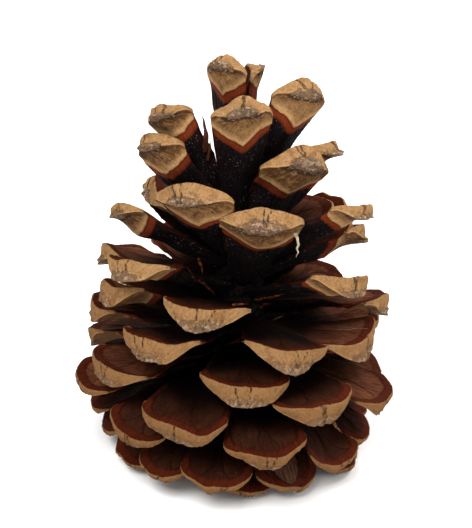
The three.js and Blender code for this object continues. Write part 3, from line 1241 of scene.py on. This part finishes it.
    def crack_edge(self) -> np.ndarray:
        """Measure how far each place lies from the cracks that run from the boss up to the rim.

        Returns:
            The distances.
        """
        from_keel = self.skin.from_keel
        off_field = np.where((from_keel < 0.2) | ~self.skin.on_end, FAR, 0.0)
        nearest = np.full_like(from_keel, FAR)
        cracks = 2 if chance(self.number, Draw.CRACK_COUNT) > -0.4 else 1
        for index in range(cracks if self.half_width > 3 else 0):
            start = self.boss_at + (0.5 + 0.8 * index) * chance(self.number, Draw.CRACK_START + index)
            lean = start * 0.35 + 0.5 * chance(self.number, Draw.CRACK_LEAN + index)
            crack = start + lean * np.clip(from_keel, 0, None) + 0.10 * np.sin(from_keel * 4 + index)
            away = np.abs(self.skin.across - crack) / math.hypot(1, lean)
            nearest = np.minimum(nearest, away + off_field)
        return nearest

    def print_edge(self) -> np.ndarray:
        """Measure how deep each place lies in the two prints that the seeds' wings left.

        Returns:
            The way to the edge of the print, negative outside it.
        """
        along = self.skin.along
        print_end = self.length - self.print_from_end
        half = np.minimum(np.maximum(1.0, self.half_at(along / self.corner)), self.half_width)
        narrow = np.sqrt(np.maximum(0, 1 - np.clip((along / print_end - 0.62) / 0.38, 0, 1) ** 2))
        from_side = 0.45 * half * narrow - np.abs(np.abs(self.skin.across) - 0.47 * half)
        return np.where(self.skin.on_inner, np.minimum(from_side, print_end - along), NO_PRINT)

    def in_relief(self) -> np.ndarray:
        """Push the skin in and out.

        Returns:
            The places with their relief.
        """
        skin, side, depth = self.skin, self.side, self.values["depth"]
        push = self.end_relief()
        slope = np.where(skin.on_end, self.end_slope, 0.0)
        along = skin.along + push * np.cos(slope)
        up = skin.up - push * np.sin(slope) + self.face_relief()
        bend = self.bend_height * self.warp.at(along, skin.across) * smooth_step(0, 0.6, depth)
        up = up + bend + self.cup_height * side**2 * depth
        edge_round = np.clip((side - 0.9) / 0.1, 0, 1) ** 2 * self.edge_thickness * 0.36
        up = up + edge_round * skin.on_back - edge_round * skin.on_inner
        before_corner = smooth_step(1.0, 0.8, along / self.corner)
        ragged = self.ragged_share * side**8 * (1 + self.ragged.at(along)) * before_corner
        return placed(along, skin.across * (1 - ragged), up)

    def end_relief(self) -> np.ndarray:
        """Raise the boss, the keel, the lip and the ribs of the end, and cut its furrow and cracks.

        Returns:
            How far each place is pushed out.
        """
        values, across, from_keel = self.values, self.skin.across, self.skin.from_keel
        dome = np.clip(1 - values["boss_reach"] ** 2, 0, 1) ** 0.5
        uneven = 1 + 0.22 * self.rough.at(across, from_keel) + 0.10 * self.lumps.at(across, from_keel)
        boss = self.boss_height * (1 - 0.6 * self.low) * dome * uneven
        furrow = (self.furrow_depth - 0.18 * self.low) * values["furrow_shade"]
        ridge = self.keel_ridge_height * bell(from_keel, 0, self.keel_ridge_width) * (1 - self.side**4)
        lip = self.lip_height * bell(values["vee_edge"], self.lip_from_vee, 0.30) * (1 - self.side**6)
        ribs = self.rib_height * self.ribs.at(across * 1.4, from_keel * 0.15)
        cracks = self.crack_depth * bell(values["crack_edge"], 0, self.crack_width)
        large = self.size_share * (boss - furrow + lip + ridge * self.skin.on_end)
        return large + ribs * self.skin.on_end - cracks

    def face_relief(self) -> np.ndarray:
        """Raise the fibres of both faces and the middle rib of the inner face, and sink the prints.

        Returns:
            How far each place is lifted.
        """
        skin, values = self.skin, self.values
        fibres = self.rib_height * self.ribs.at(skin.across * 1.2, skin.way * 0.08)
        prints = self.print_depth * smooth_step(-0.1, 0.35, values["print_edge"])
        middle_rib = self.middle_rib_height * bell(skin.across, 0, 0.5) * values["depth"]
        inner = (fibres - prints + middle_rib) * skin.on_inner
        return (inner - fibres * skin.on_back) * (1 - self.side**6)

    @staticmethod
    def faces(columns: int, rows: int) -> np.ndarray:
        """List the faces of the closed skin.

        Args:
            columns: How many columns there are.
            rows: How many places each column has.

        Returns:
            Four corners for each face.
        """
        rung = np.arange(rows // 2 - 1)
        mirror = rows - 1 - rung
        first = np.stack([rung, mirror, mirror - 1, rung + 1], axis=-1)
        last = (columns - 1) * rows + first[:, ::-1]
        return np.concatenate([ring_faces(columns, rows), first, last])


@dataclass
class ScaleRow:
    """One steep spiral of scales: every thirteenth scale of the cone."""

    index: int
    material: bpy.types.Material
    first_small: int = 78

    def build(self) -> bpy.types.Object:
        """Make the row's piece.

        Returns:
            The piece, which stands for the cone's solid together with the other rows.
        """
        skins = []
        for number in range(self.index, SCALE_COUNT, STEEP_ROWS):
            detail = Detail.FINE if number < self.first_small else Detail.SMALL
            skins.append(ScaleSkin(number, detail).build())
        skin = Skin.joined(skins).worn_into("pine_cone")
        piece = skin.to_piece(f"scale_row_{self.index + 1:02d}", self.material, "scale_wood")
        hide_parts("pine_cone")
        return piece


@dataclass
class ConeAxis:
    """The woody axis of the cone and the broken stalk under it."""

    material: bpy.types.Material
    # The outline that is turned: pairs of radius and height.
    outline: tuple[tuple[float, float], ...] = (
        (0.02, 8.7), (1.6, 8.75), (2.6, 8.9), (2.95, 9.4), (3.1, 11), (4.5, 14), (4.5, 22), (4.3, 30),
        (3.4, 40), (2.2, 48), (1.3, 54), (0.02, 54.4),
    )
    sides: int = 96
    rows: int = 180
    bark_relief: float = 0.16
    fibre_relief: float = 0.12
    torn_height: float = 8.8
    torn_relief: float = 0.22

    def build(self) -> bpy.types.Object:
        """Turn the outline and roughen it.

        Returns:
            The piece.
        """
        rng = np.random.default_rng(AXIS_SEED)
        bark = Ripple(rng, 1.4, 12)
        fibres = Ripple(rng, 0.8, 12)
        _, outline = evenly_along(self.outline, self.rows)
        radius, height = outline[:, [0]], outline[:, [1]]
        angle = ring_angles(self.sides)[None, :]
        spread = 4.4 * angle
        push = self.bark_relief * bark.at(spread, height)
        push = push + self.fibre_relief * fibres.at(spread * 1.6, height * 0.12)
        radius = radius * (1 + push * 0.35)
        x, y = radius * np.cos(angle), radius * np.sin(angle)
        torn = self.torn_relief * bell(height, self.torn_height, 0.35)
        corners = placed(x, y, height + torn * fibres.at(x * 2, y * 2)).reshape(-1, 3)
        skin = Skin(corners + SPIRAL_OFFSET, ring_faces(self.rows, self.sides), {"place": corners})
        piece = skin.to_piece("cone_axis", self.material, "scale_wood")
        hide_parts("pine_cone")
        return piece


@dataclass
class WingedSeed:
    """The seed caught between two scales, with its papery wing."""

    material: bpy.types.Material
    scale_number: int = 67
    gap: float = 0.34
    aside: float = -0.5
    seed_along: float = 12.6
    seed_half_size: Point = (2.6, 1.4, 0.75)
    seed_pinch: float = 0.22
    seed_rows: int = 24
    seed_sides: int = 32
    wing_thickness: float = 0.22
    wing_lift: float = 0.25
    wing_arch: float = 0.52
    wing_wave: float = 0.03
    # The wing's outline: places along the scale with the wing's two edges across it.
    edge: tuple[Point, ...] = (
        (11, -0.9, 0.9), (13, -1.9, 1.7), (16, -2.5, 2.25), (19, -2.55, 2.4), (20.6, -2.2, 2.0),
        (21.8, -1.6, 1.45), (22.5, -0.9, 0.95), (22.85, -0.25, 0.2),
    )
    wing_rows: int = 60
    wing_columns: int = 25

    def build(self) -> bpy.types.Object:
        """Mesh the seed and its wing.

        Returns:
            The piece, which stands for the seed's solid.
        """
        skin = Skin.joined([self.wing(), self.nut()])
        skin.corners = ScalePlace.of(self.scale_number).apply(skin.corners + (0, self.aside, self.gap))
        skin = skin.worn_into("winged_seed")
        piece = skin.to_piece("seed_with_wing", self.material, "seed_wing")
        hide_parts("winged_seed")
        return piece

    def wing(self) -> Skin:
        """Mesh the wing as a thin closed leaf.

        Returns:
            The skin in the scale's own frame.
        """
        stations, *edges = np.array(self.edge).T
        start, end = stations[0], stations[-1]
        along = np.linspace(start, end, self.wing_rows)[:, None]
        low, high = (np.interp(along, stations, edge) for edge in edges)
        across = low + (high - low) * np.linspace(0, 1, self.wing_columns)
        veins = Ripple(np.random.default_rng(WING_SEED), 0.9, 8)
        wave = self.wing_wave * (veins.at(along * 0.1, across) + np.sin(along * 1.1))
        arch = self.wing_arch * np.sin(math.pi * (along - start) / (end - start + 1))
        middle = self.wing_lift + arch + wave
        half = self.wing_thickness / 2
        leaves = [placed(along, across, middle + side * half).reshape(-1, 3) for side in (1, -1)]
        corners = np.concatenate(leaves)
        return Skin(corners, self.wing_faces(), {"place": corners, "on_nut": np.zeros(len(corners))})

    def wing_faces(self) -> np.ndarray:
        """List the faces of the wing's top, of its underside and of the wall between them.

        Returns:
            Four corners for each face.
        """
        count = self.wing_rows * self.wing_columns
        grid = np.arange(count).reshape(self.wing_rows, self.wing_columns)
        upper = np.stack([grid[:-1, :-1], grid[1:, :-1], grid[1:, 1:], grid[:-1, 1:]], axis=-1)
        upper = upper.reshape(-1, 4)
        rim = np.concatenate([grid[0], grid[1:, -1], grid[-1, -2::-1], grid[-2:0:-1, 0]])
        after = np.roll(rim, -1)
        wall = np.stack([rim, after, after + count, rim + count], axis=-1)
        return np.concatenate([upper, upper[:, ::-1] + count, wall])

    def nut(self) -> Skin:
        """Mesh the seed as a closed egg shape.

        Returns:
            The skin in the scale's own frame.
        """
        polar = np.linspace(0.02, math.pi - 0.02, self.seed_rows)[:, None]
        angle = ring_angles(self.seed_sides)
        round_about = np.sin(polar) * (1 - self.seed_pinch * np.cos(polar))
        unit = placed(np.cos(polar), round_about * np.cos(angle), round_about * np.sin(angle))
        corners = unit.reshape(-1, 3) * self.seed_half_size + (self.seed_along, 0, self.seed_half_size[2])
        faces = ring_faces(self.seed_rows, self.seed_sides)
        return Skin(corners, faces, {"place": corners, "on_nut": np.ones(len(corners))})


@dataclass
class Strand:
    """A thin bent fibre or splinter, thick at its start and pointed at its end."""

    path: tuple[Point, ...]
    radius: float
    seed: int
    flatness: float = 1.0
    waver: float = 0.12
    sides: int = 10
    rows: int = 40
    least_radius: float = 0.03
    # A direction that no strand runs in, from which the sides of its rings are turned.
    reference: Point = (0.2, -0.9, 0.35)

    def build(self) -> Skin:
        """Sweep the strand along its path.

        Returns:
            The skin in the shared frame.
        """
        rng = np.random.default_rng(self.seed)
        way, centre = evenly_along(self.path, self.rows)
        share = way / way[-1]
        for axis in range(3):
            centre[:, axis] += self.waver * Ripple(rng, 1.8, 4).at(way) * np.minimum(1, share * 6)
        ahead = np.gradient(centre, axis=0)
        ahead /= np.linalg.norm(ahead, axis=1)[:, None]
        beside = np.cross(ahead, self.reference)
        beside /= np.linalg.norm(beside, axis=1)[:, None]
        over = np.cross(beside, ahead)
        thick = self.radius * (1 - share**2) * (0.88 + 0.12 * Ripple(rng, 2.2, 5).at(way))
        thick = np.maximum(thick, self.least_radius)
        angle = ring_angles(self.sides)[None, :, None]
        ring = np.cos(angle) * beside[:, None, :] + self.flatness * np.sin(angle) * over[:, None, :]
        corners = (centre[:, None, :] + ring * thick[:, None, None]).reshape(-1, 3)
        corners = np.concatenate([corners, centre[[0, -1]]])
        return Skin(corners, self.faces(), {"place": corners})

    def faces(self) -> np.ndarray:
        """List the faces of the swept rings and of the fans that close both ends.

        Returns:
            Four corners for each face, the last one twice where a face is a triangle.
        """
        corner = np.arange(self.sides)
        after = (corner + 1) % self.sides
        last = (self.rows - 1) * self.sides
        tip = np.full(self.sides, self.rows * self.sides)
        start_fan = np.stack([after, corner, tip, tip], axis=-1)
        end_fan = np.stack([corner + last, after + last, tip + 1, tip + 1], axis=-1)
        return np.concatenate([ring_faces(self.rows, self.sides), start_fan, end_fan])


@dataclass
class ClingingBits:
    """Strands of one finish that cling to the cone, shown as one piece."""

    name: str
    finish: WoodFinish
    strands: list[Strand]

    def build(self) -> bpy.types.Object:
        """Make the piece."""
        skin = Skin.joined([strand.build() for strand in self.strands]).worn_into("pine_cone")
        return skin.to_piece(self.name, self.finish.build(), "scale_wood")


def thread() -> ClingingBits:
    """Describe the cream thread that hangs from an upper scale."""
    path = ((9.9, -12.4, 46.6), (10.3, -12.9, 45.6), (10.6, -13.0, 44.9), (10.3, -13.0, 44.1),
            (10.5, -13.0, 43.4), (10.1, -13.0, 42.5))
    return ClingingBits(
        "thread",
        WoodFinish("cream_thread", (0.66, 0.56, 0.42), (0.40, 0.31, 0.20)),
        [Strand(path, 0.27, 11, waver=0.08)],
    )


def splinters() -> ClingingBits:
    """Describe the pointed splinters that are torn from the stalks of two upper scales."""
    return ClingingBits(
        "splinters",
        WoodFinish("splinter_wood", (0.080, 0.021, 0.010), (0.020, 0.007, 0.005), (1.0, 1.0, 0.3)),
        [
            Strand(((-4.9, -4.5, 57.8), (-4.7, -4.5, 61.0), (-5.3, -4.4, 64.4)), 0.55, 12, 0.4, 0.02),
            Strand(((-4.6, -4.2, 56.2), (-4.1, -4.4, 58.0), (-4.0, -4.5, 60.0)), 0.45, 13, 0.4, 0.02),
        ],
    )


def tan_splinter() -> ClingingBits:
    """Describe the pale splinter that lies between two lower scales."""
    path = ((16.2, -12.2, 11.7), (17.4, -13.0, 10.7), (18.6, -13.9, 9.5))
    return ClingingBits(
        "tan_splinter",
        WoodFinish("tan_splinter_wood", (0.28, 0.15, 0.065), (0.12, 0.055, 0.024)),
        [Strand(path, 0.42, 14, 0.5)],
    )


def torn_shreds() -> ClingingBits:
    """Describe the torn red-brown shreds near the axis."""
    paths = (
        ((-6.0, -10.8, 37.3), (-5.3, -8.2, 35.4), (-4.5, -5.8, 33.4), (-3.2, -2.0, 30.0)),
        ((3.5, -3.0, 29.8), (5.0, -5.6, 31.4), (6.2, -7.8, 32.7), (8.6, -11.0, 34.8)),
        ((-0.4, -10.8, 32.6), (1.0, -11.0, 32.9), (2.4, -10.9, 32.9)),
        ((4.4, -1.6, 27.7), (5.2, -2.0, 28.4), (6.4, -2.6, 28.9)),
        ((-6.2, -2.4, 37.6), (-5.9, -2.9, 36.4), (-5.5, -3.4, 35.0)),
        ((0.9, -5.5, 23.1), (-0.4, -6.8, 23.4), (-1.9, -8.4, 23.5)),
    )
    return ClingingBits(
        "torn_shreds",
        WoodFinish("torn_wood", (0.125, 0.028, 0.010), (0.020, 0.006, 0.004), (0.6, 0.6, 0.6)),
        [Strand(path, 0.30, seed, 0.35, 0.05) for seed, path in enumerate(paths, start=20)],
    )


def pale_fibres() -> ClingingBits:
    """Scatter fine pale fibres over the inner faces of some scales.

    Returns:
        The fibres.
    """
    rng = np.random.default_rng(FIBRE_SEED)
    bend = np.array([0, -0.5, 0.35])
    share = np.linspace(0, 1, 9)[:, None]
    strands = []
    for number in HAIRY_SCALES:
        start = np.array([rng.uniform(13, 17), rng.uniform(0, 3.0), 0.10])
        heading = rng.uniform(0.1, 0.6)
        ahead = rng.uniform(3.0, 5.0) * np.array([math.cos(heading), math.sin(heading), 0])
        path = ScalePlace.of(number).apply(start + ahead * share + bend * np.sin(math.pi * share))
        strands.append(Strand(tuple(map(tuple, path)), 0.075, 31 + len(strands), 1.0, 0.01, 6, 24))
    finish = WoodFinish("pale_fibre", (0.21, 0.145, 0.10), (0.12, 0.08, 0.055))
    return ClingingBits("pale_fibres", finish, strands)


@dataclass(frozen=True)
class Lamp:
    """A square soft light that points at the cone, with its place and side in metres."""

    name: str
    place: Point
    size: float
    watts: float
    aim: Point = (0.0, 0.0, 0.035)

    def build(self) -> None:
        """Hang the light."""
        data = bpy.data.lights.new(self.name, "AREA")
        data.size = self.size
        data.energy = self.watts
        light = bpy.data.objects.new(self.name, data)
        light.location = self.place
        heading = Vector(self.aim) - Vector(self.place)
        light.rotation_euler = heading.to_track_quat("-Z", "Y").to_euler()
        bpy.context.scene.collection.objects.link(light)


@dataclass
class Studio:
    """The floor, the soft light and the camera."""

    floor_half: float = 0.9
    camera_place: Point = (0.0007, -0.2309, 0.1401)
    camera_pitch: float = 24.4
    camera_yaw: float = 0.12
    lens: float = 98.6
    room_colour: RGB = (1.0, 0.995, 0.985)
    room_light: float = 0.62
    lamps: tuple[Lamp, ...] = (
        Lamp("key_light", (-0.16, -0.34, 0.52), 0.30, 4.6),
        Lamp("fill_light", (0.36, -0.30, 0.30), 0.30, 1.0),
        Lamp("back_light", (0.34, 0.24, 0.46), 0.25, 3.0),
    )

    def build(self) -> None:
        """Make the floor, the lights and the camera."""
        self.floor()
        self.room()
        for lamp in self.lamps:
            lamp.build()
        self.camera()

    def floor(self) -> None:
        """Lay the floor."""
        half = self.floor_half
        mesh = bpy.data.meshes.new("floor")
        corners = [(-half, -half, 0), (half, -half, 0), (half, half, 0), (-half, half, 0)]
        mesh.from_pydata(corners, [], [(0, 1, 2, 3)])
        mesh.materials.append(FloorFinish().build())
        floor = bpy.data.objects.new("floor", mesh)
        bpy.context.scene.collection.objects.link(floor)

    def room(self) -> None:
        """Light the room evenly from all sides."""
        world = bpy.data.worlds.new("soft_room")
        world.use_nodes = True
        background = world.node_tree.nodes["Background"].inputs
        background["Color"].default_value = (*self.room_colour, 1.0)
        background["Strength"].default_value = self.room_light
        bpy.context.scene.world = world
        bpy.context.scene.view_settings.view_transform = "Standard"

    def camera(self) -> None:
        """Place the camera."""
        camera = bpy.data.objects.new("camera", bpy.data.cameras.new("camera"))
        camera.data.sensor_width = 36.0
        camera.data.lens = self.lens
        camera.data.clip_start = 0.01
        camera.data.clip_end = 10.0
        camera.location = self.camera_place
        camera.rotation_euler = (math.radians(90 - self.camera_pitch), 0, math.radians(self.camera_yaw))
        bpy.context.scene.collection.objects.link(camera)
        bpy.context.scene.camera = camera


def main() -> None:
    """Build every sub-assembly and report the pieces."""
    logging.basicConfig(level=logging.INFO, format="%(name)s: %(message)s")
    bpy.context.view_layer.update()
    scale_wood = ScaleFinish().build()
    # The axis is near-black: its dark wood with the painted shade of the cone's deep middle.
    axis_wood = WoodFinish("axis_wood", (0.006, 0.0032, 0.0024), (0.002, 0.0014, 0.0012), (1.0, 1.0, 0.2))
    pieces = [ScaleRow(index, scale_wood).build() for index in range(STEEP_ROWS)]
    pieces.append(ConeAxis(axis_wood.build()).build())
    pieces.append(WingedSeed(SeedFinish().build()).build())
    bits = (thread(), splinters(), tan_splinter(), torn_shreds(), pale_fibres())
    pieces += [bit.build() for bit in bits]
    Studio().build()
    log.info("%d pieces", len(pieces))


if __name__ == "__main__":
    main()
